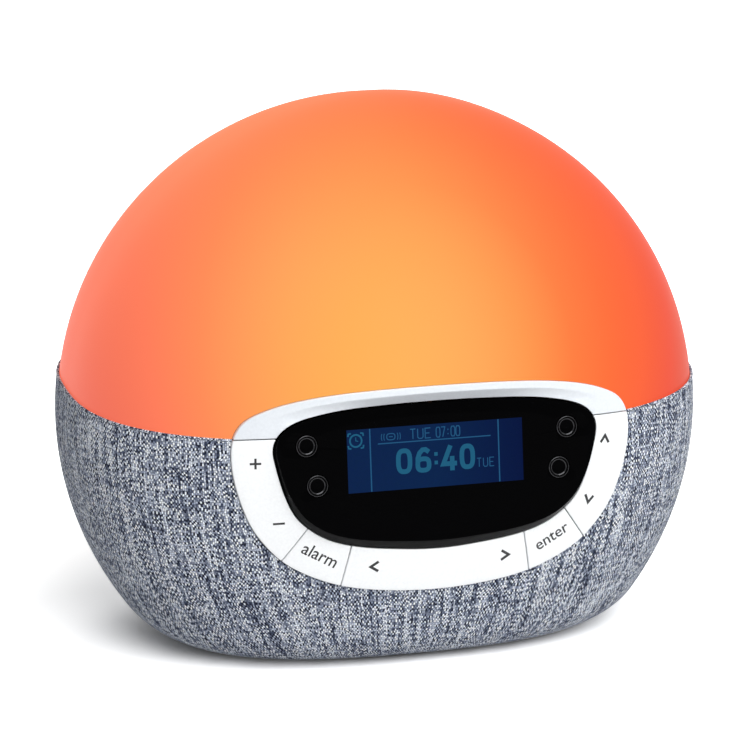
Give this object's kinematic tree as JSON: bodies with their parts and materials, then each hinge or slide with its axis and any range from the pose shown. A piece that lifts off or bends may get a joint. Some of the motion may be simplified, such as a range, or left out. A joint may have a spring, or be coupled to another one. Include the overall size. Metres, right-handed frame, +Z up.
{
  "type": "sunrise alarm clock",
  "caption": "Bedside sunrise alarm clock: a lit opal dome on a cloth-covered base, with a ring of rocking and pressing keys round a sunken black display window.",
  "frame": {"origin": "on the table, under the middle of the clock's bounding box", "axes": "+Z up, display facing -Y, +X to the viewer's right"},
  "size_m": [0.2101, 0.146, 0.1775],
  "materials": {
    "opal_dome": "opal, smooth, lit from inside",
    "cloth": "woven grey melange",
    "dark_housing": "fine matt",
    "key_white": "smooth, faintly cool white",
    "window_black": "piano gloss",
    "mask_black": "printed black",
    "display_blue": "dark blue segment display",
    "backlight": "milky light guide",
    "inner_white": "satin",
    "inner_grey": "satin",
    "board_green": "solder mask",
    "chip_black": "moulded",
    "steel": "plain",
    "spreader_aluminium": "plain",
    "lamp_red": "lens",
    "lamp_amber": "lens",
    "lamp_white": "lens",
    "foot_rubber": "matt",
    "speaker_metal": "matt black",
    "paper_cone": "soft",
    "plug_cream": "moulded",
    "socket_steel": "plated",
    "lead_black": "cable sleeve",
    "ribbon_grey": "flat cable",
    "coil_copper": "enamelled wire"
  },
  "bodies": {
    "clock": {"dome_diffuser": "opal_dome", "fabric_cover": "cloth", "base_shell": "dark_housing", "base_plate": "dark_housing", "rear_panel": "dark_housing", "brow_bezel": "key_white", "display_window": "window_black", "window_mask": "mask_black", "lcd_glass": "display_blue", "backlight_guide": "backlight", "lcd_frame": "inner_white", "key_carrier": "inner_grey", "light_hood": "inner_grey", "light_tray": "inner_white", "display_board": "board_green", "led_board": "inner_white", "main_board": "board_green", "port_board": "board_green", "press_switches": "chip_black", "processor_chip": "chip_black", "driver_chips": "chip_black", "rocker_pins": "steel", "carrier_screws": "steel", "brow_screws": "steel", "dome_screws": "steel", "tray_screws": "steel", "led_board_screws": "steel", "base_screws": "steel", "board_screws": "steel", "rear_screws": "steel", "speaker_screws": "steel", "heat_spreader": "spreader_aluminium", "red_leds": "lamp_red", "amber_leds": "lamp_amber", "white_leds": "lamp_white", "rubber_feet": "foot_rubber", "speaker_gasket": "foot_rubber", "speaker_frame": "speaker_metal", "speaker_magnet": "speaker_metal", "speaker_cone": "paper_cone", "dc_jack": "chip_black", "usb_port": "socket_steel", "power_coils": "coil_copper", "capacitors": "chip_black", "backup_cell": "steel", "cell_holder": "plug_cream", "board_connectors": "plug_cream", "display_ribbon": "ribbon_grey", "led_cable": "lead_black", "speaker_leads": "lead_black", "port_leads": "lead_black"},
    "left_rocker": {"left_rocker": "key_white"},
    "right_rocker": {"right_rocker": "key_white"},
    "foot_rocker": {"foot_rocker": "key_white"},
    "left_key": {"left_key": "key_white"},
    "right_key": {"right_key": "key_white"},
    "upper_left_button": {"upper_left_button": "window_black"},
    "lower_left_button": {"lower_left_button": "window_black"},
    "upper_right_button": {"upper_right_button": "window_black"},
    "lower_right_button": {"lower_right_button": "window_black"}
  },
  "joints": [
    {"name": "left_rocker_pivot", "type": "hinge", "parent": "clock", "child": "left_rocker", "pos_m": [-0.0563, -0.06081, 0.06288], "axis": [0.9537, 0.0309, 0.2991], "range_deg": [-1.2, 1.2], "stiffness_Nm_per_rad": 0.4},
    {"name": "right_rocker_pivot", "type": "hinge", "parent": "clock", "child": "right_rocker", "pos_m": [0.0563, -0.06081, 0.06288], "axis": [0.9537, -0.0309, -0.2991], "range_deg": [-1.2, 1.2], "stiffness_Nm_per_rad": 0.4},
    {"name": "foot_rocker_pivot", "type": "hinge", "parent": "clock", "child": "foot_rocker", "pos_m": [0, -0.06362, 0.03572], "axis": [0, 0.1028, 0.9947], "range_deg": [-0.8, 0.8], "stiffness_Nm_per_rad": 0.4},
    {"name": "left_key_press", "type": "slide", "parent": "clock", "child": "left_key", "axis": [0, 0.9947, -0.1028], "range_m": [0, 0.0005], "stiffness_N_per_m": 2000},
    {"name": "right_key_press", "type": "slide", "parent": "clock", "child": "right_key", "axis": [0, 0.9947, -0.1028], "range_m": [0, 0.0005], "stiffness_N_per_m": 2000},
    {"name": "upper_left_button_press", "type": "slide", "parent": "clock", "child": "upper_left_button", "axis": [0, 0.9947, -0.1028], "range_m": [0, 0.0005], "stiffness_N_per_m": 2000},
    {"name": "lower_left_button_press", "type": "slide", "parent": "clock", "child": "lower_left_button", "axis": [0, 0.9947, -0.1028], "range_m": [0, 0.0005], "stiffness_N_per_m": 2000},
    {"name": "upper_right_button_press", "type": "slide", "parent": "clock", "child": "upper_right_button", "axis": [0, 0.9947, -0.1028], "range_m": [0, 0.0005], "stiffness_N_per_m": 2000},
    {"name": "lower_right_button_press", "type": "slide", "parent": "clock", "child": "lower_right_button", "axis": [0, 0.9947, -0.1028], "range_m": [0, 0.0005], "stiffness_N_per_m": 2000}
  ]
}
